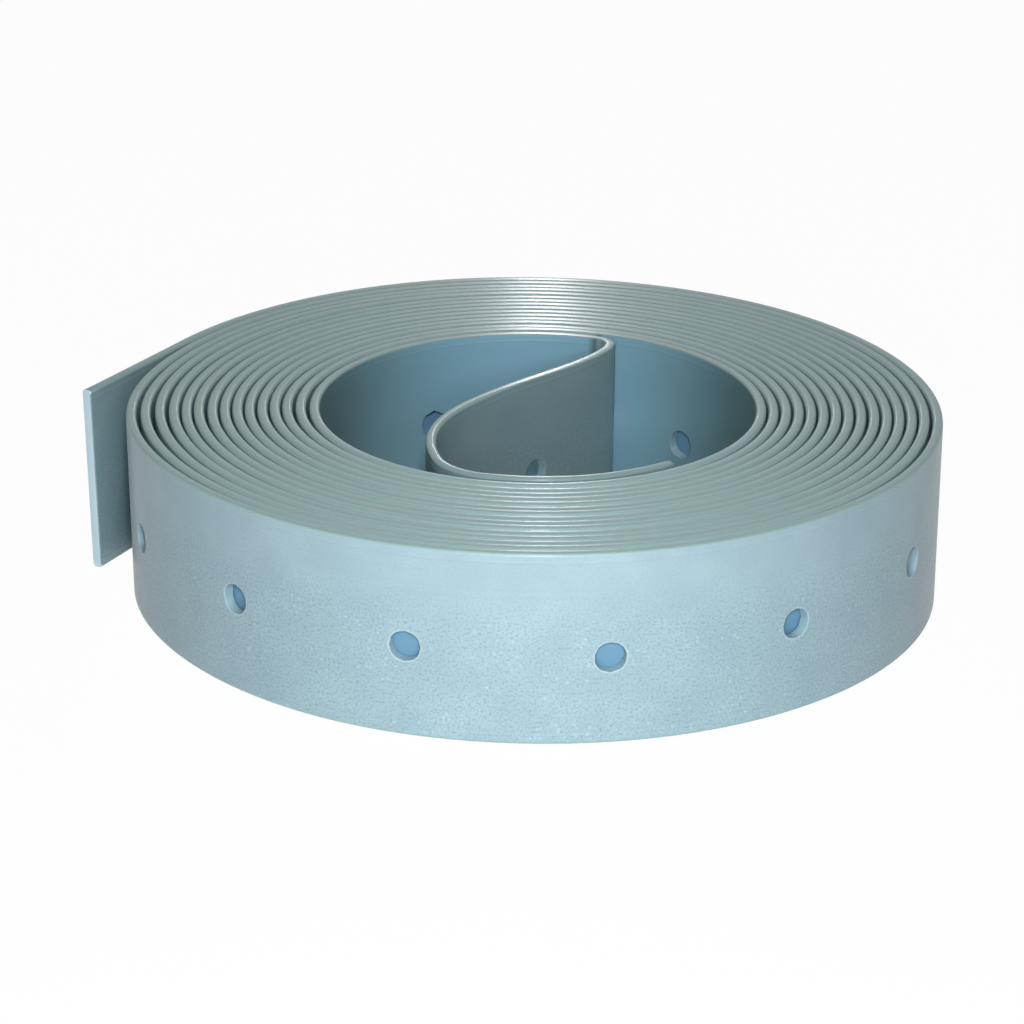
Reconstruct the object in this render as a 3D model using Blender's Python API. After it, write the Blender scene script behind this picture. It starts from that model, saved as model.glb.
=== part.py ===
"""Plastic pipe hanger strap: one punched strip of stiff grey plastic, wound into a flat coil.

The strip is modelled as it is made. A flat blank is laid out along X, its holes are punched at
one pitch, it is given its thickness, and it is then wound along a centre line. From the inside
out, that centre line is:

    lip        the inner end, lying along the front of the bore
    fold       the bend that turns the lip back into the bore
    crossing   the springy stretch across the bore, where the slot of the winding mandrel was
    corner     the tight bend where the strip meets the wall of the bore
    winding    the turns, a spiral that grows by one thickness and one gap each turn, and that has
               sprung open a little at its left and right
    free end   the outer end, springing straight off the coil

Metres, +Z up. The coil lies flat on Z = 0, with the centre of its bounding box on the Z axis.
"""

import math

import bmesh
import bpy
import numpy as np
from mathutils import Vector

# The strip
STRAP_LENGTH = 3.048
STRAP_WIDTH = 0.01905
STRAP_THICKNESS = 0.00105

# The punched holes, in one row a little below the strip's middle
HOLE_DIAMETER = 0.0030
HOLE_HEIGHT = STRAP_WIDTH / 2 - 0.0005
HOLE_PITCH = 0.01893
FIRST_HOLE = 0.00908
HOLE_SIDES = 8
HOLE_FLAT_MARGIN = 0.0003

# The winding. It starts at the corner and runs anticlockwise, seen from above. Each turn is
# looser at the left and right than at the front and back, by the side opening.
BORE_RADIUS = 0.021075
TURN_GAP = 0.00016
SIDE_OPENING = 0.00003
WINDING_START = math.radians(72.5)
FREE_END_LENGTH = 0.0172

# The inner end. Each reach says how strongly the crossing holds its direction at that end.
LIP_GAP = 0.0003
LIP_END = math.radians(-52.5)
FOLD_START = math.radians(-104.0)
FOLD_RADIUS = 0.0062
FOLD_TURN = math.radians(60.0)
FOLD_REACH = 0.0170
CORNER_RADIUS = 0.0020
CORNER_HEADING = math.radians(69.0)
CORNER_REACH = 0.0100

# How finely the centre line is sampled, and how closely flat facets follow its bends
SAMPLE_STEP = 0.0001
FACET_SAG = TURN_GAP / 2
FACET_TURN = math.radians(22.5)

# The plastic
STRAP_COLOUR = (0.36, 0.48, 0.53, 1.0)
STRAP_ROUGHNESS = 0.42
SHARP_EDGE = math.radians(40.0)


class LooseSpot:
    """A place where the strip springs away from the turns inside it.

    It has so many whole turns inside it, counted from the corner, and lies in one direction from
    the Z axis, in degrees. There the gap is wider than TURN_GAP by its opening.
    """

    SPREAD = math.radians(25.0)

    def __init__(self, turns_inside, degrees, opening):
        self.centre = 2 * math.pi * turns_inside + math.radians(degrees)
        self.opening = opening

    def push(self, angles):
        """How far out the spot holds the winding, at angles that count on from turn to turn."""
        away = (angles - self.centre + math.pi) % (2 * math.pi) - math.pi
        pushed = self.opening * np.exp(-((away / self.SPREAD) ** 2))
        return np.where(angles > self.centre - math.pi, pushed, 0.0)


LOOSE_SPOTS = [
    LooseSpot(1, 180.0, 0.00014),
    LooseSpot(2, 180.0, 0.00009),
    LooseSpot(9, 180.0, 0.00008),
    LooseSpot(9, 360.0, 0.00008),
    LooseSpot(12, 182.0, 0.00013),
    LooseSpot(13, 185.0, 0.00018),
    LooseSpot(14, 190.0, 0.00022),
    LooseSpot(14, 352.0, 0.00008),
]


def polar(radii, angles):
    """Points in the plan at the given distances and directions from a centre."""
    return np.column_stack([radii * np.cos(angles), radii * np.sin(angles)])


def toward(angle):
    """The unit vector in one direction of the plan."""
    return polar(1.0, [angle])[0]


def along(start, end):
    """The samples of a run from one value to another, over a length in metres."""
    return lambda length: np.linspace(start, end, max(2, math.ceil(length / SAMPLE_STEP)) + 1)


def arc(centre, radius, start, end):
    """Points along an arc about a centre, from one direction to another."""
    return centre + polar(radius, along(start, end)(abs(end - start) * radius))


def lip_radius():
    """The radius of the lip's middle line."""
    return BORE_RADIUS - LIP_GAP - STRAP_THICKNESS / 2


def lip():
    """The inner end. It follows the front of the bore clockwise."""
    return arc(np.zeros(2), lip_radius(), LIP_END, FOLD_START)


def fold():
    """The bend that leads the lip off the wall. It turns right."""
    centre = toward(FOLD_START) * (lip_radius() - FOLD_RADIUS)
    return arc(centre, FOLD_RADIUS, FOLD_START, FOLD_START - FOLD_TURN)


def crossing(start, end):
    """A spring curve from the fold to the corner, in line with both."""
    leaving = FOLD_START - FOLD_TURN - math.pi / 2
    first_handle = start + toward(leaving) * FOLD_REACH
    last_handle = end - toward(CORNER_HEADING) * CORNER_REACH
    t = along(0.0, 1.0)(np.linalg.norm(end - start))[:, None]
    return (
        (1 - t) ** 3 * start
        + 3 * (1 - t) ** 2 * t * first_handle
        + 3 * (1 - t) * t**2 * last_handle
        + t**3 * end
    )


def corner():
    """The bend that brings the crossing into line with the wall. It turns left."""
    centre = toward(WINDING_START) * (BORE_RADIUS + STRAP_THICKNESS / 2 - CORNER_RADIUS)
    return arc(centre, CORNER_RADIUS, CORNER_HEADING - math.pi / 2, WINDING_START)


def winding(length):
    """The turns, cut where they have used up the given length of strip."""
    most_turned = length / BORE_RADIUS
    turned = along(0.0, most_turned)(length)
    angles = WINDING_START + turned
    growth = STRAP_THICKNESS + TURN_GAP + SIDE_OPENING * np.cos(angles) ** 2
    radii = BORE_RADIUS + STRAP_THICKNESS / 2 + growth * turned / (2 * math.pi)
    radii += sum(spot.push(angles) for spot in LOOSE_SPOTS)
    points = polar(radii, angles)
    return points[travelled(points) <= length]


def free_end(wound):
    """The outer end. It leaves the last turn straight on."""
    leaving = (wound[-1] - wound[-2]) / np.linalg.norm(wound[-1] - wound[-2])
    return wound[-1] + np.outer(along(0.0, FREE_END_LENGTH)(FREE_END_LENGTH), leaving)


def travelled(points):
    """The distance along a run of points to each of them."""
    steps = np.linalg.norm(np.diff(points, axis=0), axis=1)
    return np.concatenate([[0.0], np.cumsum(steps)])


class CentreLine:
    """The strip's middle line in the plan, read by the distance along it."""

    def __init__(self):
        inner_lip, inner_fold, wall_corner = lip(), fold(), corner()
        across = crossing(inner_fold[-1], wall_corner[0])
        inner = np.vstack([inner_lip, inner_fold[1:], across[1:], wall_corner[1:]])
        wound = winding(STRAP_LENGTH - FREE_END_LENGTH - travelled(inner)[-1])
        self.points = np.vstack([inner, wound[1:], free_end(wound)[1:]])
        self.distances = travelled(self.points)
        self.length = self.distances[-1]

        steps = np.diff(self.points, axis=0)
        self.middles = (self.distances[1:] + self.distances[:-1]) / 2
        self.headings = np.unwrap(np.arctan2(steps[:, 1], steps[:, 0]))

        turns = np.abs(np.diff(self.headings))
        lengths = np.diff(self.middles)
        facets = np.maximum(np.sqrt(turns * lengths / (8 * FACET_SAG)), turns / FACET_TURN)
        self.facets = np.concatenate([[0.0], np.cumsum(facets)])

    def place(self, s, offset):
        """The plan points that lie an offset to the left of the line, at distances s along it."""
        heading = np.interp(s, self.middles, self.headings)
        x = np.interp(s, self.distances, self.points[:, 0]) - offset * np.sin(heading)
        y = np.interp(s, self.distances, self.points[:, 1]) + offset * np.cos(heading)
        return np.column_stack([x, y])

    def edges_between(self, start, end):
        """The distances where facets meet, from start to end, closer together in tight bends."""
        low, high = np.interp([start, end], self.middles, self.facets)
        count = max(1, math.ceil(high - low))
        inner = np.linspace(low, high, count + 1)[1:-1]
        return [start, *np.interp(inner, self.facets, self.middles), end]


def hole_places(length):
    """The distance of each hole from the inner end."""
    count = int((length - FIRST_HOLE - HOLE_DIAMETER) / HOLE_PITCH) + 1
    return [FIRST_HOLE + number * HOLE_PITCH for number in range(count)]


def flat_facets(line):
    """The facets of the blank, as (start, end, hole), where hole is None or its distance."""
    reach = HOLE_DIAMETER / 2 + HOLE_FLAT_MARGIN
    facets = []
    start = 0.0
    for hole in hole_places(line.length):
        edges = line.edges_between(start, hole - reach)
        facets += [(low, high, None) for low, high in zip(edges, edges[1:])]
        facets.append((hole - reach, hole + reach, hole))
        start = hole + reach
    edges = line.edges_between(start, line.length)
    return facets + [(low, high, None) for low, high in zip(edges, edges[1:])]


def punch(mesh, corners, hole):
    """Fills a facet with a hole through its middle, between its corners and the hole's rim."""
    rim = []
    for number in range(HOLE_SIDES):
        out = toward(-math.pi + 2 * math.pi * (number + 0.5) / HOLE_SIDES) * HOLE_DIAMETER / 2
        rim.append(mesh.verts.new((hole + out[0], 0.0, HOLE_HEIGHT + out[1])))
    quarter = HOLE_SIDES // 4
    for side, corner_vert in enumerate(corners):
        first = side * quarter
        for number in range(first, first + quarter - 1):
            mesh.faces.new((corner_vert, rim[number + 1], rim[number]))
        following = rim[(first + quarter) % HOLE_SIDES]
        next_corner = corners[(side + 1) % 4]
        mesh.faces.new((corner_vert, next_corner, following, rim[first + quarter - 1]))


def flat_blank(line):
    """The strip before it is wound: length along X, thickness along Y and width up Z."""
    facets = flat_facets(line)
    mesh = bmesh.new()

    def edge_at(s):
        return mesh.verts.new((s, 0.0, 0.0)), mesh.verts.new((s, 0.0, STRAP_WIDTH))

    lower, upper = edge_at(0.0)
    for _, end, hole in facets:
        next_lower, next_upper = edge_at(end)
        corners = (lower, next_lower, next_upper, upper)
        if hole is None:
            mesh.faces.new(corners)
        else:
            punch(mesh, corners, hole)
        lower, upper = next_lower, next_upper

    thickened = bmesh.ops.extrude_face_region(mesh, geom=mesh.faces[:])
    raised = [item for item in thickened["geom"] if isinstance(item, bmesh.types.BMVert)]
    bmesh.ops.translate(mesh, verts=raised, vec=(0.0, STRAP_THICKNESS, 0.0))
    bmesh.ops.translate(mesh, verts=mesh.verts, vec=(0.0, -STRAP_THICKNESS / 2, 0.0))
    bmesh.ops.recalc_face_normals(mesh, faces=mesh.faces)
    return mesh


def wind(mesh, line):
    """Bends the blank along the centre line. Its +Y side turns to the left of the heading."""
    flat = np.array([vert.co for vert in mesh.verts])
    plan = line.place(flat[:, 0], flat[:, 1])
    middle = (plan.min(axis=0) + plan.max(axis=0)) / 2
    for vert, (x, y) in zip(mesh.verts, plan - middle):
        vert.co = Vector((x, y, vert.co.z))


def strap_plastic():
    """Grey plastic, extruded and slit, with a soft sheen."""
    material = bpy.data.materials.new("strap_plastic")
    material.use_nodes = True
    shader = material.node_tree.nodes["Principled BSDF"]
    shader.inputs["Base Color"].default_value = STRAP_COLOUR
    shader.inputs["Roughness"].default_value = STRAP_ROUGHNESS
    shader.inputs["Metallic"].default_value = 0.0
    return material


def make_strap():
    """The wound strip, as one object."""
    line = CentreLine()
    blank = flat_blank(line)
    wind(blank, line)
    mesh = bpy.data.meshes.new("strap")
    blank.to_mesh(mesh)
    blank.free()
    mesh.materials.append(strap_plastic())
    mesh.shade_smooth()
    mesh.set_sharp_from_angle(angle=SHARP_EDGE)
    strap = bpy.data.objects.new("strap", mesh)
    bpy.context.scene.collection.objects.link(strap)


def main():
    for leftover in list(bpy.data.objects):
        bpy.data.objects.remove(leftover)
    make_strap()


main()
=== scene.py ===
"""The looks of a flat coil of perforated plastic pipe hanger strap.

The strap is one strip of blue-grey plastic, extruded, punched at one pitch and wound up. It is
made here as it is in a factory: a flat sheet is laid out, punched, given its thickness, has its
edges rounded, and is then wound along the same centre line as the solid that it replaces.

Metres, +Z up. The coil lies flat on Z = 0, with the centre of its bounding box on the Z axis.
"""

import logging
import math
from dataclasses import dataclass, field
from enum import Enum

import bmesh
import bpy
import numpy as np
from mathutils import Matrix, Vector


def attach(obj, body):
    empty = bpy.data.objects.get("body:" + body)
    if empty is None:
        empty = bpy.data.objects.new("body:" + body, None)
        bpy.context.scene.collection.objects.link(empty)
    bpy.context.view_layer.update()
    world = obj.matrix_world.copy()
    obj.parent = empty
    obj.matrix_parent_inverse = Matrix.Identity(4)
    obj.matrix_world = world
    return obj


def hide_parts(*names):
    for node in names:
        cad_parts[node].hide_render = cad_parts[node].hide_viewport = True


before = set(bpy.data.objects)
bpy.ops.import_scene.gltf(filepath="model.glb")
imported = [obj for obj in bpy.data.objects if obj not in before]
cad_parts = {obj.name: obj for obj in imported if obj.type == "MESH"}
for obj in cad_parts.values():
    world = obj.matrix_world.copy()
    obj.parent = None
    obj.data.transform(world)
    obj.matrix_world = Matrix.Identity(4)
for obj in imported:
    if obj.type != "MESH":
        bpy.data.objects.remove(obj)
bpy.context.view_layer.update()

MM = 0.001
UV_NAME = "along_and_across"
# Marks the faces that other turns hide, which get a painted deep blue shade.
BURIED_SHADE_NAME = "buried_shade"
FROM_HOLE_NAME = "from_hole"
# Holds the painted shade: dark on the bore's sides and the ends, blue at the bore's back, and darker rim tops
# toward the back.
PAINTED_SHADE_NAME = "in_bore"
PHOTO_WIDTH = 1024
log = logging.getLogger("hanger_strap")


def linear(hex_colour: str) -> tuple[float, float, float, float]:
    """Turns an sRGB hex colour into the linear colour that a shader takes.

    Args:
        hex_colour: The colour, such as "8FA9AC".

    Returns:
        Red, green, blue and an alpha of 1.
    """
    channels = []
    for start in (0, 2, 4):
        value = int(hex_colour[start : start + 2], 16) / 255
        channels.append(value / 12.92 if value <= 0.04045 else ((value + 0.055) / 1.055) ** 2.4)
    return (*channels, 1.0)


def add_node(tree: bpy.types.NodeTree, kind: str, links: dict | None = None, **settings) -> bpy.types.Node:
    """Adds a node to a tree, with its settings and its inputs.

    Args:
        tree: The node tree that gets the node.
        kind: The node's type, such as "ShaderNodeTexNoise".
        links: For each input, by name or number, a value or the socket that feeds it.
        settings: The node's own properties, by name.

    Returns:
        The new node.
    """
    node = tree.nodes.new(kind)
    for name, value in settings.items():
        setattr(node, name, value)
    for name, value in (links or {}).items():
        if isinstance(value, bpy.types.NodeSocket):
            tree.links.new(value, node.inputs[name])
        else:
            node.inputs[name].default_value = value
    return node


def polar(radii: np.ndarray | float, angles: np.ndarray | list[float]) -> np.ndarray:
    """Points in the plan at the given distances and directions from a centre."""
    return np.column_stack([radii * np.cos(angles), radii * np.sin(angles)])


def toward(angle: float) -> np.ndarray:
    """The unit vector in one direction of the plan."""
    return polar(1.0, [angle])[0]


def travelled(points: np.ndarray) -> np.ndarray:
    """The distance along a run of points to each of them."""
    steps = np.linalg.norm(np.diff(points, axis=0), axis=1)
    return np.concatenate([[0.0], np.cumsum(steps)])


@dataclass(frozen=True)
class StrapSizes:
    """The strip's own sizes, as in the solid.

    The holes are placed as the photo shows them. Those that it shows lie off the solid's even row
    by a little: up and down in waves along the strip, and along it at the inner end. On the turn
    under the outermost one they are moved so that none shows through another.
    """

    length: float = 3.048
    width: float = 0.01905
    thickness: float = 0.00105
    hole_diameter: float = 0.0030
    hole_pitch: float = 0.01893
    first_hole: float = 0.00908
    hole_height: float = 0.009025
    hole_sway: float = 0.00037
    sway_length: float = 0.0765
    sway_start: float = 2.8292
    hidden_shift: float = -0.0032
    hidden_middle: float = 2.63
    hidden_reach: float = 0.08
    inner_shifts: tuple[tuple[int, float, float], ...] = (
        (2, 0.0042, 0.0),
        (4, 0.0003, 0.0006),
        (10, -0.0019, 0.0),
    )

    def holes(self) -> np.ndarray:
        """The middle of each hole: its distance from the inner end, and its height."""
        count = int((self.length - self.first_hole - self.hole_diameter) / self.hole_pitch) + 1
        even = self.first_hole + np.arange(count) * self.hole_pitch
        along = even + self.hidden_shift * np.exp(-(((even - self.hidden_middle) / self.hidden_reach) ** 2))
        turns = 2 * np.pi * (even - self.sway_start) / self.sway_length
        heights = self.hole_height + self.hole_sway * np.cos(turns)
        for number, further, higher in self.inner_shifts:
            along[number] += further
            heights[number] += higher
        return np.column_stack([along, heights])

    def hole_nearest(self, along: np.ndarray) -> np.ndarray:
        """The middle of the hole that is nearest to each distance along the strip."""
        holes = self.holes()
        halfway = (holes[1:, 0] + holes[:-1, 0]) / 2
        return holes[np.searchsorted(halfway, along)]


@dataclass(frozen=True)
class LooseSpot:
    """A place where the strip springs away from the turns inside it.

    Its angle, in radians, counts on from turn to turn. The opening is what it adds to the gap.
    """

    centre: float
    opening: float
    spread: float = math.radians(25.0)

    def push(self, angles: np.ndarray) -> np.ndarray:
        """How far out the spot holds the winding.

        Args:
            angles: Angles that count on from turn to turn.

        Returns:
            The distance that each place is pushed out.
        """
        away = (angles - self.centre + math.pi) % (2 * math.pi) - math.pi
        pushed = self.opening * np.exp(-((away / self.spread) ** 2))
        return np.where(angles > self.centre - math.pi, pushed, 0.0)


def loose(turns_inside: int, degrees: float, opening: float) -> LooseSpot:
    """A loose spot by the whole turns inside it and its direction in degrees."""
    return LooseSpot(2 * math.pi * turns_inside + math.radians(degrees), opening)


@dataclass
class CentreLine:
    """The strip's middle line in the plan, from the inner end to the outer one.

    The sizes and the route are those of the solid: a lip along the front of the bore, a fold, a
    crossing, a corner at the wall, the turns, and a free end that springs straight off.
    """

    strap: StrapSizes
    bore_radius: float = 0.021075
    turn_gap: float = 0.00016
    side_opening: float = 0.00003
    winding_start: float = math.radians(72.5)
    free_end_length: float = 0.0172
    lip_gap: float = 0.0003
    lip_end: float = math.radians(-52.5)
    fold_start: float = math.radians(-104.0)
    fold_radius: float = 0.0062
    fold_turn: float = math.radians(60.0)
    fold_reach: float = 0.0170
    corner_radius: float = 0.0020
    corner_heading: float = math.radians(69.0)
    corner_reach: float = 0.0100
    sample_step: float = 0.0001
    loose_spots: list[LooseSpot] = field(
        default_factory=lambda: [
            loose(1, 180.0, 0.00014),
            loose(2, 180.0, 0.00009),
            loose(9, 180.0, 0.00008),
            loose(9, 360.0, 0.00008),
            loose(12, 182.0, 0.00013),
            loose(13, 185.0, 0.00018),
            loose(14, 190.0, 0.00022),
            loose(14, 352.0, 0.00008),
        ]
    )

    def __post_init__(self) -> None:
        """Lays out the route and measures it."""
        inner = self.inner_route()
        self.inner_length = travelled(inner)[-1]
        wound = self.winding(self.strap.length - self.free_end_length - self.inner_length)
        angles = np.unwrap(np.arctan2(wound[:, 1], wound[:, 0]))
        turn_start = int(np.argmax(angles > angles[-1] - 2 * math.pi))
        self.outer_turn = self.inner_length + travelled(wound)[turn_start]
        turn_end = int(np.argmax(angles > angles[0] + 2 * math.pi))
        self.first_turn_end = self.inner_length + travelled(wound)[turn_end]
        self.points = np.vstack([inner, wound[1:], self.free_end(wound)[1:]])
        self.distances = travelled(self.points)
        self.length = self.distances[-1]
        steps = np.diff(self.points, axis=0)
        self.middles = (self.distances[1:] + self.distances[:-1]) / 2
        self.headings = np.unwrap(np.arctan2(steps[:, 1], steps[:, 0]))
        half = self.strap.thickness / 2
        outline = np.vstack([self.place(self.distances, half), self.place(self.distances, -half)])
        self.box_centre = (outline.min(axis=0) + outline.max(axis=0)) / 2

    def samples(self, start: float, end: float, length: float) -> np.ndarray:
        """Evenly spaced values for a stretch of the route.

        Args:
            start: The first value.
            end: The last value.
            length: The length of the stretch, which sets how many samples it gets.

        Returns:
            The values, both ends included.
        """
        return np.linspace(start, end, max(2, math.ceil(length / self.sample_step)) + 1)

    def arc(self, centre: np.ndarray, radius: float, start: float, end: float) -> np.ndarray:
        """Points along an arc about a centre, from one direction to another."""
        return centre + polar(radius, self.samples(start, end, abs(end - start) * radius))

    def inner_route(self) -> np.ndarray:
        """The lip, the fold, the crossing and the corner, end to end."""
        lip_radius = self.bore_radius - self.lip_gap - self.strap.thickness / 2
        lip = self.arc(np.zeros(2), lip_radius, self.lip_end, self.fold_start)
        fold_centre = toward(self.fold_start) * (lip_radius - self.fold_radius)
        fold_end = self.fold_start - self.fold_turn
        fold = self.arc(fold_centre, self.fold_radius, self.fold_start, fold_end)
        wall_radius = self.bore_radius + self.strap.thickness / 2
        corner_centre = toward(self.winding_start) * (wall_radius - self.corner_radius)
        corner_start = self.corner_heading - math.pi / 2
        corner = self.arc(corner_centre, self.corner_radius, corner_start, self.winding_start)
        crossing = self.crossing(fold[-1], corner[0])
        return np.vstack([lip, fold[1:], crossing[1:], corner[1:]])

    def crossing(self, start: np.ndarray, end: np.ndarray) -> np.ndarray:
        """The spring curve from the fold to the corner, in line with both.

        Args:
            start: Where the fold ends.
            end: Where the corner starts.

        Returns:
            Points along the curve.
        """
        leaving = self.fold_start - self.fold_turn - math.pi / 2
        first_handle = start + toward(leaving) * self.fold_reach
        last_handle = end - toward(self.corner_heading) * self.corner_reach
        t = self.samples(0.0, 1.0, np.linalg.norm(end - start))[:, None]
        return (
            (1 - t) ** 3 * start
            + 3 * (1 - t) ** 2 * t * first_handle
            + 3 * (1 - t) * t**2 * last_handle
            + t**3 * end
        )

    def winding(self, length: float) -> np.ndarray:
        """The turns, cut where they have used up the given length of strip."""
        turned = self.samples(0.0, length / self.bore_radius, length)
        angles = self.winding_start + turned
        growth = self.strap.thickness + self.turn_gap + self.side_opening * np.cos(angles) ** 2
        radii = self.bore_radius + self.strap.thickness / 2 + growth * turned / (2 * math.pi)
        radii += sum(spot.push(angles) for spot in self.loose_spots)
        points = polar(radii, angles)
        return points[travelled(points) <= length]

    def free_end(self, wound: np.ndarray) -> np.ndarray:
        """The outer end. It leaves the last turn straight on."""
        leaving = (wound[-1] - wound[-2]) / np.linalg.norm(wound[-1] - wound[-2])
        reach = self.samples(0.0, self.free_end_length, self.free_end_length)
        return wound[-1] + np.outer(reach, leaving)

    def place(self, s: np.ndarray, offset: np.ndarray) -> np.ndarray:
        """Plan points beside the line.

        Args:
            s: Distances along the line.
            offset: How far each point lies to the left of the line.

        Returns:
            One point for each distance.
        """
        heading = np.interp(s, self.middles, self.headings)
        x = np.interp(s, self.distances, self.points[:, 0]) - offset * np.sin(heading)
        y = np.interp(s, self.distances, self.points[:, 1]) + offset * np.cos(heading)
        return np.column_stack([x, y])

    def divisions(self, start: float, end: float, step: float, turn: float) -> list[float]:
        """Divides a stretch so that it follows the line's bends.

        Args:
            start: The distance where the stretch starts.
            end: The distance where it ends.
            step: The longest piece.
            turn: The most that a piece may turn, in radians.

        Returns:
            The distances between the pieces, without both ends.
        """
        turned = np.concatenate([[0.0], np.cumsum(np.abs(np.diff(self.headings)) / turn)])
        effort = turned + self.middles / step
        low, high = np.interp([start, end], self.middles, effort)
        count = max(1, math.ceil(high - low))
        return list(np.interp(np.linspace(low, high, count + 1)[1:-1], effort, self.middles))


class Finish(Enum):
    """The strap's material slots."""

    SKIN = 0
    PUNCHED = 1
    SAWN = 2


@dataclass(frozen=True)
class StrapPlastic:
    """Polypropylene hanger strap, extruded flat and slit, with a soft sheen.

    The pigment is even. What the eye sees is a milky blue-grey with faint streaks along the strip
    where it ran over the rolls, a fine mottle, pale specks where the skin is scuffed, a greener tone
    on the rims that is partly the slit edge and partly painted light for the warmer light on their
    tops, and a whitened ring round each punched hole. Painted shade: the faces that other turns
    hide are a deep blue, the bore is blue at its back and dark on its sides, the rims' tops darken
    toward the back, and the inner end and the free end's inside are darker.
    """

    sizes: StrapSizes
    name: str = "strap_plastic"
    colour: str = "96AFB7"
    pale: str = "9DB6BC"
    streak: str = "8DA6AE"
    # The rims' colour: partly the slit edge, partly painted light for the warmer, greener light on their tops.
    edge: str = "95B1AE"
    scuff: str = "C2D6DC"
    speckle: str = "7B99A1"
    # Painted shade: the deep blue of the faces that other turns hide, seen through the holes.
    buried_shade: str = "6A95AE"
    # Painted shade: the blue of the bore's back, and the dark of its sides, the ends and the rims' tops.
    bore: str = "86B2C4"
    shade: str = "56716F"
    edge_width: float = 0.45 * MM
    streak_length: float = 60 * MM
    streak_width: float = 0.45 * MM
    grain_size: float = 0.24 * MM
    cloud_size: float = 5 * MM
    speck_size: float = 0.7 * MM
    ring_width: float = 0.18 * MM
    bead_depth: float = 0.95 * MM
    bead_width: float = 0.16 * MM
    roughness: float = 0.50

    def material(self) -> bpy.types.Material:
        """Builds the material.

        Returns:
            The finished material.
        """
        material = bpy.data.materials.new(self.name)
        material.use_nodes = True
        tree = material.node_tree
        shader = tree.nodes["Principled BSDF"]
        flat = add_node(tree, "ShaderNodeUVMap", uv_map=UV_NAME).outputs["UV"]
        parts = add_node(tree, "ShaderNodeSeparateXYZ", {"Vector": flat})
        across = parts.outputs["Y"]

        grain = self.noise(tree, flat, self.grain_size, self.grain_size, 2.0)
        clouds = self.noise(tree, flat, self.cloud_size, self.cloud_size, 3.0)
        streaks = self.noise(tree, flat, self.streak_length, self.streak_width, 2.0)
        cloudy = self.mixed(tree, self.span(tree, clouds, 0.35, 0.65), linear(self.colour), linear(self.pale))
        band = self.rough_band(tree, across)
        spots = add_node(
            tree, "ShaderNodeMath", {0: self.span(tree, grain, 0.48, 0.72), 1: band}, operation="MULTIPLY"
        )
        grainy = self.mixed(tree, spots.outputs[0], cloudy, linear(self.speckle))
        streaked = self.mixed(
            tree, self.share(tree, self.span(tree, streaks, 0.55, 0.75), 0.2), grainy, linear(self.streak)
        )
        specks = self.specks(tree, flat, across)
        scuffed = self.mixed(tree, specks, streaked, linear(self.scuff))
        edge = self.near_edge(tree, across)
        # The rims' tone: partly the slit edge, partly painted light.
        edged = self.mixed(tree, edge, scuffed, linear(self.edge))
        ringed = self.mixed(tree, self.near_hole(tree), edged, linear(self.scuff))
        # Painted shade: the bore's sides, the ends and the rims' tops are darkened, and the bore's back is painted
        # blue.
        inside = add_node(tree, "ShaderNodeAttribute", attribute_name=PAINTED_SHADE_NAME)
        shaded = self.mixed(tree, self.span(tree, inside.outputs["Fac"], 0.0, 0.5), ringed, linear(self.shade))
        darkened = self.mixed(tree, self.span(tree, inside.outputs["Fac"], 0.5, 1.0), shaded, linear(self.bore))
        # Painted shade: the faces that other turns hide turn a deep blue.
        depth = add_node(tree, "ShaderNodeAttribute", attribute_name=BURIED_SHADE_NAME)
        finished = self.mixed(tree, depth.outputs["Fac"], darkened, linear(self.buried_shade))
        tree.links.new(finished, shader.inputs["Base Color"])

        rough = add_node(
            tree, "ShaderNodeMapRange", {0: grain, 3: self.roughness - 0.08, 4: self.roughness + 0.08}
        )
        tree.links.new(rough.outputs[0], shader.inputs["Roughness"])
        shader.inputs["IOR"].default_value = 1.49
        shader.inputs["Specular IOR Level"].default_value = 0.5
        slick = add_node(tree, "ShaderNodeMapRange", {0: edge, 3: 0.2, 4: 0.22})
        tree.links.new(slick.outputs[0], shader.inputs["Coat Weight"])
        shader.inputs["Coat Roughness"].default_value = 0.17
        self.relief(tree, shader, (grain, specks, self.bead(tree, across)))
        return material

    def relief(
        self, tree: bpy.types.NodeTree, shader: bpy.types.Node, heights: tuple[bpy.types.NodeSocket, ...]
    ) -> None:
        """Gives the skin its relief: the grain, the specks and the bead that the slitter leaves.

        Args:
            tree: The node tree that gets the nodes.
            shader: The shader whose surface is raised.
            heights: The grain, the specks and the bead, each from 0 to 1.
        """
        grain, specks, bead = heights
        fine = add_node(tree, "ShaderNodeMath", {0: grain, 1: 0.35, 2: specks}, operation="MULTIPLY_ADD")
        whole = add_node(tree, "ShaderNodeMath", {0: bead, 1: 1.0, 2: fine.outputs[0]}, operation="MULTIPLY_ADD")
        bump = add_node(
            tree, "ShaderNodeBump", {"Strength": 0.6, "Distance": 0.03 * MM, "Height": whole.outputs[0]}
        )
        tree.links.new(bump.outputs["Normal"], shader.inputs["Normal"])

    def off_middle(self, tree: bpy.types.NodeTree, across: bpy.types.NodeSocket) -> bpy.types.NodeSocket:
        """The distance of a place from the middle of the strip, either way."""
        offset = add_node(tree, "ShaderNodeMath", {0: across, 1: self.sizes.width / 2}, operation="SUBTRACT")
        return add_node(tree, "ShaderNodeMath", {0: offset.outputs[0]}, operation="ABSOLUTE").outputs[0]

    def bead(self, tree: bpy.types.NodeTree, across: bpy.types.NodeSocket) -> bpy.types.NodeSocket:
        """The low bead that runs beside each long edge, from 0 to 1."""
        line = self.sizes.width / 2 - self.bead_depth
        beside = add_node(
            tree, "ShaderNodeMath", {0: self.off_middle(tree, across), 1: line}, operation="SUBTRACT"
        )
        reach = add_node(tree, "ShaderNodeMath", {0: beside.outputs[0]}, operation="ABSOLUTE")
        return self.span(tree, reach.outputs[0], self.bead_width, 0.0)

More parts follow.
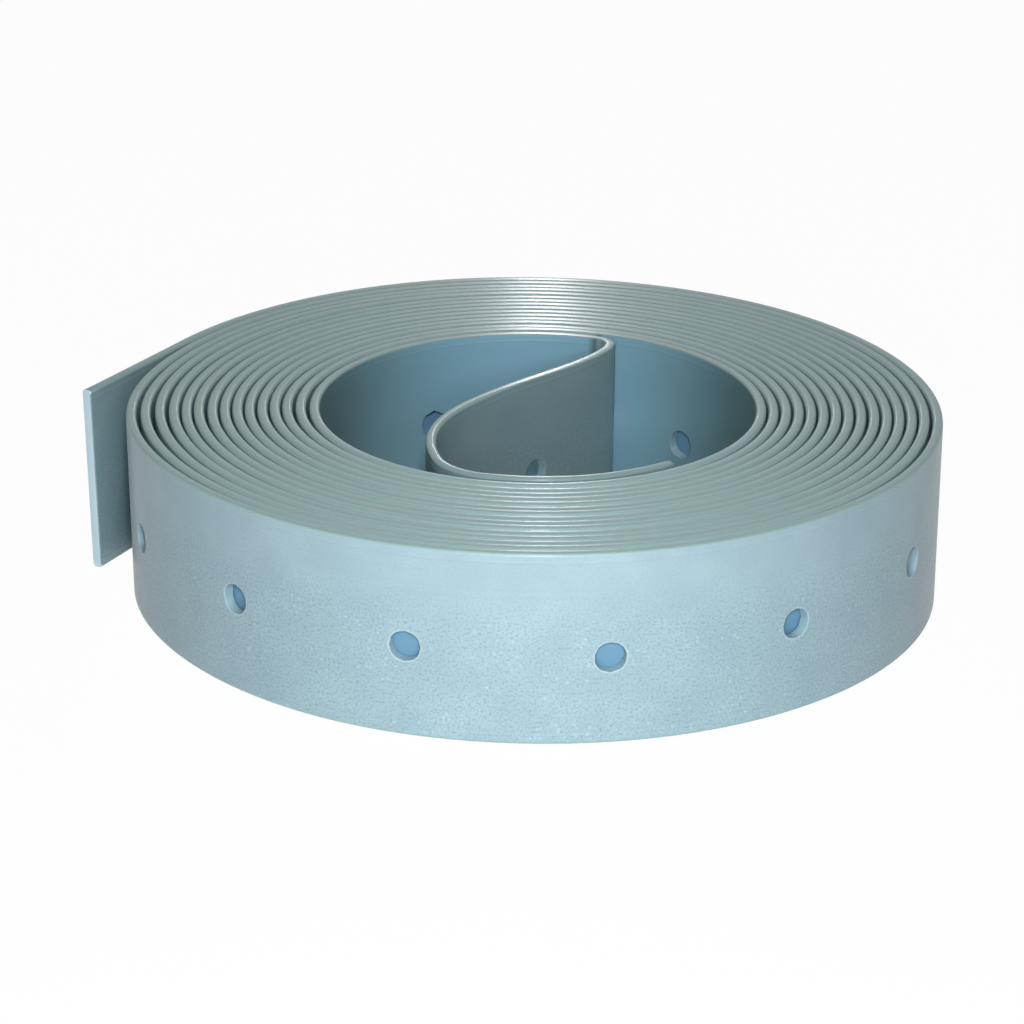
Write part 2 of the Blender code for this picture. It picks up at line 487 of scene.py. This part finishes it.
    def share(self, tree: bpy.types.NodeTree, value: bpy.types.NodeSocket, most: float) -> bpy.types.NodeSocket:
        """Scales a value down, so that 1 becomes the given most."""
        return add_node(tree, "ShaderNodeMath", {0: value, 1: most}, operation="MULTIPLY").outputs[0]

    def noise(
        self, tree: bpy.types.NodeTree, flat: bpy.types.NodeSocket, length: float, width: float, detail: float
    ) -> bpy.types.NodeSocket:
        """Adds noise on the flat strip.

        Args:
            tree: The node tree that gets the nodes.
            flat: The place on the flat strip.
            length: The size of its spots along the strip.
            width: Their size across it.
            detail: How many finer layers it has.

        Returns:
            The noise, about 0.5 on average.
        """
        place = add_node(tree, "ShaderNodeMapping", {"Vector": flat, "Scale": (1 / length, 1 / width, 1.0)})
        noise = add_node(
            tree, "ShaderNodeTexNoise", {"Vector": place.outputs[0], "Scale": 1.0, "Detail": detail}
        )
        return noise.outputs["Fac"]

    def span(
        self, tree: bpy.types.NodeTree, value: bpy.types.NodeSocket, low: float, high: float
    ) -> bpy.types.NodeSocket:
        """Stretches a value so that it runs from 0 at low to 1 at high."""
        return add_node(tree, "ShaderNodeMapRange", {0: value, 1: low, 2: high}).outputs[0]

    def mixed(
        self,
        tree: bpy.types.NodeTree,
        share: bpy.types.NodeSocket,
        first: bpy.types.NodeSocket | tuple[float, ...],
        second: bpy.types.NodeSocket | tuple[float, ...],
    ) -> bpy.types.NodeSocket:
        """Mixes two colours, the second by the given share."""
        return add_node(tree, "ShaderNodeMix", {0: share, 6: first, 7: second}, data_type="RGBA").outputs[2]

    def specks(
        self, tree: bpy.types.NodeTree, flat: bpy.types.NodeSocket, across: bpy.types.NodeSocket
    ) -> bpy.types.NodeSocket:
        """Adds small pale specks, which come in patches and keep off the top of the strip.

        Args:
            tree: The node tree that gets the nodes.
            flat: The place on the flat strip.
            across: The height on the strip.

        Returns:
            How pale each place is, from 0 to 1.
        """
        cells = add_node(tree, "ShaderNodeTexVoronoi", {"Vector": flat, "Scale": 1 / self.speck_size})
        dots = self.share(tree, self.span(tree, cells.outputs["Distance"], 0.30, 0.08), 0.4)
        patches = self.span(tree, self.noise(tree, flat, 7 * MM, 2.5 * MM, 2.0), 0.40, 0.62)
        below_top = self.span(tree, across, self.sizes.width * 0.75, self.sizes.width * 0.60)
        here = add_node(tree, "ShaderNodeMath", {0: patches, 1: below_top}, operation="MULTIPLY")
        return add_node(tree, "ShaderNodeMath", {0: dots, 1: here.outputs[0]}, operation="MULTIPLY").outputs[0]

    def near_edge(self, tree: bpy.types.NodeTree, across: bpy.types.NodeSocket) -> bpy.types.NodeSocket:
        """How close a place is to the strip's two long edges, from 0 to 1."""
        half = self.sizes.width / 2
        reach = self.off_middle(tree, across)
        return self.span(tree, reach, half - self.edge_width, half - self.edge_width / 4)

    def rough_band(self, tree: bpy.types.NodeTree, across: bpy.types.NodeSocket) -> bpy.types.NodeSocket:
        """Where the skin is speckled: fully in the lower half, and little near the top."""
        width = self.sizes.width
        return add_node(
            tree, "ShaderNodeMapRange", {0: across, 1: width * 0.80, 2: width * 0.60, 3: 0.25, 4: 0.9}
        ).outputs[0]

    def near_hole(self, tree: bpy.types.NodeTree) -> bpy.types.NodeSocket:
        """Finds the whitened rings round the holes, from 0 to 1."""
        away = add_node(tree, "ShaderNodeAttribute", attribute_name=FROM_HOLE_NAME).outputs["Fac"]
        rim = self.sizes.hole_diameter / 2
        ring = self.span(tree, away, rim + self.ring_width, rim + self.ring_width / 2)
        return self.share(tree, ring, 0.5)


@dataclass(frozen=True)
class CutPlastic:
    """The same plastic where a punch or a saw went through it: paler, and dull."""

    name: str
    colour: str
    roughness: float = 0.6

    def material(self) -> bpy.types.Material:
        """Builds the material.

        Returns:
            The finished material.
        """
        material = bpy.data.materials.new(self.name)
        material.use_nodes = True
        shader = material.node_tree.nodes["Principled BSDF"]
        shader.inputs["Base Color"].default_value = linear(self.colour)
        shader.inputs["Roughness"].default_value = self.roughness
        shader.inputs["IOR"].default_value = 1.49
        return material


@dataclass
class HangerStrap:
    """The strap, from flat sheet to finished coil."""

    sizes: StrapSizes
    line: CentreLine
    hole_patch: float = 0.0023
    longest_piece: float = 0.0024
    sharpest_piece: float = math.radians(5.0)
    edge_rounding: float = 0.00034
    edge_segments: int = 4
    hole_rounding: float = 0.00007
    end_rounding: float = 0.00012
    # How much painted shade the inner end and the free end's inside get, and the rims' tops at the front, the sides
    # and the back.
    painted_end_shade: float = 0.22
    painted_rim_shades: tuple[float, float, float] = (0.05, 0.19, 0.19)
    tail_lean: float = 0.00035
    turn_lean: float = 0.00040
    turn_lean_start: float = 0.025
    turn_lean_reach: float = 0.022
    fullness: float = 0.13
    lip_length: float = 0.017
    lip_press: float = 0.0002
    lip_stretch: float = 0.0009
    turn_lift: float = 0.00008
    back_filling: float = 0.88

    def patch_offsets(self) -> np.ndarray:
        """The lines that cut a hole's square patch, measured from the hole.

        They cross the patch's border every 22.5 degrees, seen from the hole.
        """
        return np.array([-1.0, -math.tan(math.pi / 8), 0.0, math.tan(math.pi / 8), 1.0]) * self.hole_patch

    def columns(self) -> list[float]:
        """The distances along the strip at which the sheet is divided."""
        distances = [0.0]
        for hole in self.sizes.holes()[:, 0]:
            patch = hole + self.patch_offsets()
            distances += self.line.divisions(
                distances[-1], patch[0], self.longest_piece, self.sharpest_piece
            )
            distances += list(patch)
        distances += self.line.divisions(
            distances[-1], self.line.length, self.longest_piece, self.sharpest_piece
        )
        return distances + [self.line.length]

    def rows(self) -> list[float]:
        """The heights at which the sheet is divided."""
        return [0.0, *(self.sizes.hole_height + self.patch_offsets()), self.sizes.width]

    def sheet(self) -> bmesh.types.BMesh:
        """Lays out the flat sheet, length along X and width up Z, and punches its holes.

        Returns:
            The sheet, one face thick.
        """
        columns, rows = self.columns(), self.rows()
        sheet = bmesh.new()
        bmesh.ops.create_grid(
            sheet, x_segments=len(columns) - 1, y_segments=len(rows) - 1, size=0.5
        )
        for vert in sheet.verts:
            column = round((vert.co.x + 0.5) * (len(columns) - 1))
            row = round((vert.co.y + 0.5) * (len(rows) - 1))
            vert.co = (columns[column], 0.0, rows[row])
        self.punch(sheet)
        return sheet

    def punch(self, sheet: bmesh.types.BMesh) -> None:
        """Cuts a round hole in the middle of each square patch."""
        height = self.sizes.hole_height
        patches = []
        for face in sheet.faces:
            centre = face.calc_center_median()
            middle, _ = self.sizes.hole_nearest(centre.x)
            if max(abs(centre.z - height), abs(centre.x - middle)) < self.hole_patch:
                patches.append(face)
        joined = bmesh.ops.dissolve_faces(sheet, faces=patches, use_verts=False)["region"]
        bmesh.ops.inset_individual(sheet, faces=joined, thickness=self.hole_patch / 4)
        for face in joined:
            middle, rise = self.sizes.hole_nearest(face.calc_center_median().x)
            hole = Vector((middle, 0.0, rise))
            for vert in face.verts:
                out = (vert.co - hole).normalized()
                vert.co = hole + out * self.sizes.hole_diameter / 2
        bmesh.ops.delete(sheet, geom=joined, context="FACES_ONLY")

    def thicken(self, sheet: bmesh.types.BMesh) -> None:
        """Gives the sheet its thickness, along Y, half to each side."""
        raised = bmesh.ops.extrude_face_region(sheet, geom=sheet.faces[:])["geom"]
        verts = [item for item in raised if isinstance(item, bmesh.types.BMVert)]
        bmesh.ops.translate(sheet, verts=verts, vec=(0.0, self.sizes.thickness, 0.0))
        bmesh.ops.translate(sheet, verts=sheet.verts, vec=(0.0, -self.sizes.thickness / 2, 0.0))
        bmesh.ops.recalc_face_normals(sheet, faces=sheet.faces)

    def sort_walls(self, sheet: bmesh.types.BMesh) -> None:
        """Marks the faces that a punch or a knife made."""
        for face in sheet.faces:
            skin = abs(face.normal.y) > 0.5
            middle = face.calc_center_median()
            if skin or min(middle.z, self.sizes.width - middle.z) < 1e-6:
                face.material_index = Finish.SKIN.value
            elif min(middle.x, self.line.length - middle.x) < 1e-6:
                face.material_index = Finish.SAWN.value
            else:
                face.material_index = Finish.PUNCHED.value

    def ridges(self, sheet: bmesh.types.BMesh, at_rim: bool, at_end: bool) -> list[bmesh.types.BMEdge]:
        """Finds the edges where two walls meet squarely.

        Args:
            sheet: The flat strip.
            at_rim: Whether the edges lie on a long rim of the strip.
            at_end: Whether they lie on one of its two ends.

        Returns:
            The edges.
        """
        found = []
        for edge in sheet.edges:
            if edge.calc_face_angle(0.0) < math.radians(60.0):
                continue
            middle = (edge.verts[0].co + edge.verts[1].co) / 2
            on_end = min(middle.x, self.line.length - middle.x) < 1e-6
            on_rim = min(middle.z, self.sizes.width - middle.z) < 1e-6
            if on_end == at_end and (on_rim == at_rim or on_end):
                found.append(edge)
        return found

    def round_edges(self, sheet: bmesh.types.BMesh) -> None:
        """Rounds the long edges as the slitter leaves them, and eases the holes and the ends."""
        bevels = (
            (False, False, self.hole_rounding, 2),
            (True, False, self.edge_rounding, self.edge_segments),
            (True, True, self.end_rounding, 1),
        )
        for at_rim, at_end, offset, segments in bevels:
            bmesh.ops.bevel(
                sheet,
                geom=self.ridges(sheet, at_rim, at_end),
                offset=offset,
                offset_type="OFFSET",
                segments=segments,
                profile=0.5,
                affect="EDGES",
                material=-1,
                clamp_overlap=False,
            )

    def wander(self, s: np.ndarray, shortest: float, seed: float) -> np.ndarray:
        """A smooth wandering value between -1 and 1 along the strip.

        Args:
            s: Distances along the strip.
            shortest: The length of its shortest wave.
            seed: Another value for each use.

        Returns:
            The value at each distance.
        """
        waves = [np.sin(2 * math.pi * s / (shortest * ratio) + seed * ratio * 7.0) for ratio in (1.0, 1.62, 2.7)]
        return sum(waves) / len(waves)

    def lean(self, s: np.ndarray, heights: np.ndarray) -> np.ndarray:
        """How far the strip leans in: the free end at its foot, and so does the turn before it.

        Args:
            s: Distances along the strip.
            heights: Heights on it.

        Returns:
            How far each point moves towards the coil's axis.
        """
        upright = 0.5 - heights / self.sizes.width
        on_tail = np.clip((s - self.line.length) / self.line.free_end_length + 1.0, 0.0, 1.0)
        foot = np.clip(1.0 - heights / self.sizes.width, 0.0, 1.0)
        on_turn = np.exp(-(((s - self.line.outer_turn - self.turn_lean_start) / self.turn_lean_reach) ** 2))
        return 2 * self.tail_lean * upright * on_tail + self.turn_lean * foot * on_turn

    def wind(self, flat: np.ndarray) -> np.ndarray:
        """Winds the strip up.

        Args:
            flat: The places of the flat strip's points.

        Returns:
            Their places in the coil, with the box's centre on the Z axis.
        """
        stretched = flat[:, 0] - self.lip_stretch * np.exp(-flat[:, 0] / (4 * self.lip_stretch))
        s = np.clip(stretched, 0.0, self.line.length)
        beyond = stretched - s
        sway = 0.00003 * self.wander(s, 0.031, 1.0) + self.lip_press * np.clip(
            (self.lip_length - s) / self.lip_length * 2, 0.0, 1.0
        )
        lift = self.turn_lift * (1.0 + self.wander(s, 0.19, 2.0))
        offset = flat[:, 1] * self.swelling(s) + sway + self.lean(s, flat[:, 2])
        plan = self.line.place(s, offset)
        heading = np.interp(s, self.line.middles, self.line.headings)
        plan += np.column_stack([beyond * np.cos(heading), beyond * np.sin(heading)])
        return np.column_stack([plan - self.line.box_centre, self.rim_height(plan, flat[:, 2]) + lift])

    def rim_height(self, plan: np.ndarray, heights: np.ndarray) -> np.ndarray:
        """The height of each point, with the rims' rounding drawn shallower at the back.

        Args:
            plan: The points' places in the plan.
            heights: Their heights on the strip.

        Returns:
            Their heights in the coil.
        """
        at_back = np.clip(plan[:, 1] / np.linalg.norm(plan, axis=1), 0.0, 1.0) ** 2
        below_rim = self.sizes.width - heights
        rounded = (below_rim > 0.0) & (below_rim < self.edge_rounding * 1.01)
        return heights + np.where(rounded, below_rim * self.back_filling * at_back, 0.0)

    def swelling(self, s: np.ndarray) -> np.ndarray:
        """How much thicker the strip is drawn at each place.

        The solid keeps a thin gap between its turns. The real turns touch, but for the two sides.
        """
        place = self.line.place(s, np.zeros_like(s))
        across = place[:, 1] / np.linalg.norm(place, axis=1)
        wound = (s > self.line.inner_length) & (s < self.line.length - self.line.free_end_length)
        return 1.0 + self.fullness * wound * across**4

    def build(self) -> bpy.types.Object:
        """Makes the coil and dresses it.

        Returns:
            The finished piece.
        """
        strip = self.sheet()
        self.thicken(strip)
        self.sort_walls(strip)
        self.round_edges(strip)
        mesh = bpy.data.meshes.new("strap_coil")
        strip.to_mesh(mesh)
        strip.free()
        flat = np.empty(len(mesh.vertices) * 3)
        mesh.vertices.foreach_get("co", flat)
        flat = flat.reshape(-1, 3)
        self.mark(mesh, flat)
        mesh.vertices.foreach_set("co", self.wind(flat).ravel())
        mesh.materials.append(StrapPlastic(self.sizes).material())
        mesh.materials.append(CutPlastic("punched_plastic", "93AFB6").material())
        mesh.materials.append(CutPlastic("sawn_plastic", "C4DAE2").material())
        mesh.shade_smooth()
        mesh.update()
        coil = bpy.data.objects.new("strap_coil", mesh)
        bpy.context.scene.collection.objects.link(coil)
        weighted = coil.modifiers.new("flat_walls", "WEIGHTED_NORMAL")
        weighted.keep_sharp = True
        return coil

    def mark(self, mesh: bpy.types.Mesh, flat: np.ndarray) -> None:
        """Keeps each point's place on the flat strip, whether the coil hides it, and its painted shade.

        Args:
            mesh: The strip's mesh.
            flat: The places of its points before it is wound.
        """
        corners = np.empty(len(mesh.loops), dtype=np.int32)
        mesh.loops.foreach_get("vertex_index", corners)
        uv = mesh.uv_layers.new(name=UV_NAME)
        uv.data.foreach_set("uv", flat[corners][:, (0, 2)].ravel())
        s, outside = flat[:, 0], flat[:, 1] < 0.0
        in_winding = (s > self.line.inner_length) & (s < self.line.length - self.line.free_end_length)
        under_outer_turn = outside & in_winding & (s < self.line.outer_turn)
        behind_first_turn = ~outside & in_winding & (s > self.line.first_turn_end)
        clear_of_rims = np.abs(flat[:, 2] - self.sizes.width / 2) < self.sizes.width * 0.3
        depth = np.where((under_outer_turn | behind_first_turn) & clear_of_rims, 1.0, 0.0)
        # Painted shade: blue at the bore's back, dark on its sides, darker at the ends and on the rims' tops toward
        # the back.
        aside = np.clip(np.abs(np.cos(np.interp(s, self.line.middles, self.line.headings - math.pi / 2))), 0.0, 1.0)
        in_bore = ~outside & in_winding & (s <= self.line.first_turn_end)
        tint = np.where(in_bore, 1.0 - aside**2 / 2, 0.0)
        tint[s <= self.line.inner_length] = self.painted_end_shade
        tint[~outside & (s > self.line.length - self.line.free_end_length)] = self.painted_end_shade
        below_rim = flat[:, 2] < self.sizes.width - self.edge_rounding / 2
        to_back = np.sin(np.interp(s, self.line.middles, self.line.headings - math.pi / 2))
        painted_rim_shade = np.interp(to_back, [-1.0, 0.0, 1.0], self.painted_rim_shades)
        away = np.linalg.norm(flat[:, (0, 2)] - self.sizes.hole_nearest(s), axis=1)
        marks = {
            BURIED_SHADE_NAME: depth,
            PAINTED_SHADE_NAME: np.where(below_rim, tint, painted_rim_shade),
            FROM_HOLE_NAME: away,
        }
        for name, values in marks.items():
            mesh.attributes.new(name, "FLOAT", "POINT").data.foreach_set("value", values)


@dataclass
class Studio:
    """The floor, the lights and the camera of the photo."""

    focal_pixels: float = 4000.0
    sensor_width: float = 36.0
    camera_place: tuple[float, float, float] = (0.000652, -0.375740, 0.15602)
    yaw: float = -0.0014
    pitch: float = 0.3768
    roll: float = 0.0107
    floor_size: float = 3.0
    flash_colour: str = "F6FAFF"
    room_colour: str = "FFFCF2"
    room_light: float = 0.01

    def camera(self) -> None:
        """Sets up the camera at the photo's place, worked out from the coil's outlines."""
        ahead = Vector(
            (math.sin(self.yaw) * math.cos(self.pitch), math.cos(self.yaw) * math.cos(self.pitch), -math.sin(self.pitch))
        )
        level = Vector((math.cos(self.yaw), -math.sin(self.yaw), 0.0))
        above = level.cross(ahead)
        right = level * math.cos(self.roll) + above * math.sin(self.roll)
        up = above * math.cos(self.roll) - level * math.sin(self.roll)
        turned = Matrix((right, up, -ahead)).transposed().to_4x4()
        data = bpy.data.cameras.new("camera")
        data.sensor_width = self.sensor_width
        data.lens = self.sensor_width * self.focal_pixels / PHOTO_WIDTH
        camera = bpy.data.objects.new("camera", data)
        camera.matrix_world = Matrix.Translation(self.camera_place) @ turned
        bpy.context.scene.collection.objects.link(camera)
        bpy.context.scene.camera = camera

    def lamp(
        self, name: str, place: tuple[float, float, float], size: tuple[float, float], power: float
    ) -> None:
        """Adds a soft lamp that faces the coil.

        Args:
            name: The lamp's name.
            place: Where it hangs.
            size: Its width and its height.
            power: Its power in watts.
        """
        data = bpy.data.lights.new(name, "AREA")
        data.shape = "RECTANGLE"
        data.size, data.size_y = size
        data.energy = power
        data.color = linear(self.flash_colour)[:3]
        lamp = bpy.data.objects.new(name, data)
        lamp.location = place
        lamp.rotation_euler = Vector(place).to_track_quat("Z", "Y").to_euler()
        bpy.context.scene.collection.objects.link(lamp)

    def seen_white(self, tree: bpy.types.NodeTree) -> bpy.types.NodeSocket:
        """Whether a ray comes from the camera, a gloss or a clear thing, as 0 or 1.

        Args:
            tree: The node tree that gets the nodes.

        Returns:
            The socket with the answer.
        """
        path = add_node(tree, "ShaderNodeLightPath")
        glossy = add_node(
            tree,
            "ShaderNodeMath",
            {0: path.outputs["Is Camera Ray"], 1: path.outputs["Is Glossy Ray"]},
            operation="MAXIMUM",
        )
        clear = add_node(
            tree,
            "ShaderNodeMath",
            {0: glossy.outputs[0], 1: path.outputs["Is Transmission Ray"]},
            operation="MAXIMUM",
        )
        return clear.outputs[0]

    def world(self) -> None:
        """A white background that lights the coil softly."""
        world = bpy.data.worlds.new("studio")
        world.use_nodes = True
        tree = world.node_tree
        light = tree.nodes["Background"]
        light.inputs["Color"].default_value = linear(self.room_colour)
        light.inputs["Strength"].default_value = self.room_light
        white = add_node(tree, "ShaderNodeBackground", {"Color": (1.0, 1.0, 1.0, 1.0), "Strength": 1.0})
        both = add_node(
            tree,
            "ShaderNodeMixShader",
            {0: self.seen_white(tree), 1: light.outputs[0], 2: white.outputs[0]},
        )
        tree.links.new(both.outputs[0], tree.nodes["World Output"].inputs["Surface"])
        bpy.context.scene.world = world

    def floor(self) -> None:
        """A plain white floor, which keeps the coil's shadow."""
        mesh = bpy.data.meshes.new("floor")
        sheet = bmesh.new()
        bmesh.ops.create_grid(sheet, x_segments=1, y_segments=1, size=self.floor_size / 2)
        sheet.to_mesh(mesh)
        sheet.free()
        material = bpy.data.materials.new("floor_paper")
        material.use_nodes = True
        tree = material.node_tree
        shader = tree.nodes["Principled BSDF"]
        shader.inputs["Base Color"].default_value = linear("F4F4F4")
        shader.inputs["Roughness"].default_value = 0.9
        shader.inputs["Specular IOR Level"].default_value = 0.0
        glow = add_node(tree, "ShaderNodeEmission", {"Color": (1.0, 1.0, 1.0, 1.0), "Strength": 1.0})
        share = add_node(
            tree, "ShaderNodeMath", {0: self.seen_white(tree), 1: 0.97}, operation="MULTIPLY"
        )
        both = add_node(
            tree, "ShaderNodeMixShader", {0: share.outputs[0], 1: shader.outputs[0], 2: glow.outputs[0]}
        )
        tree.links.new(both.outputs[0], tree.nodes["Material Output"].inputs["Surface"])
        mesh.materials.append(material)
        floor = bpy.data.objects.new("floor", mesh)
        bpy.context.scene.collection.objects.link(floor)

    def build(self) -> None:
        """Sets up everything but the coil."""
        bpy.context.scene.view_settings.view_transform = "Standard"
        self.camera()
        self.world()
        self.floor()
        self.lamp("flash", (0.008, -0.36, 0.20), (0.03, 0.02), 0.68)
        self.lamp("rim_lamp", (0.010, -0.19, 0.35), (0.018, 0.12), 0.35)
        self.lamp("front_lamp", (0.0, -0.20, 0.075), (0.05, 0.03), 0.09)
        self.lamp("low_lamp", (0.0, -0.16, 0.02), (0.05, 0.03), 0.05)
        self.lamp("back_lamp", (0.0, 0.45, 0.16), (0.30, 0.15), 0.03)
        self.lamp("window", (0.006, 0.45, 0.17), (0.010, 0.04), 0.085)


def main() -> None:
    """Builds the coil and the studio."""
    Studio().build()
    sizes = StrapSizes()
    line = CentreLine(sizes)
    coil = HangerStrap(sizes, line).build()
    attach(coil, "root")
    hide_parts("strap")
    triangles = sum(len(face.vertices) - 2 for face in coil.data.polygons)
    log.info("%s: %d triangles, %d holes", coil.name, triangles, len(sizes.holes()))


if __name__ == "__main__":
    logging.basicConfig(level=logging.INFO, format="%(name)s %(message)s")
    main()
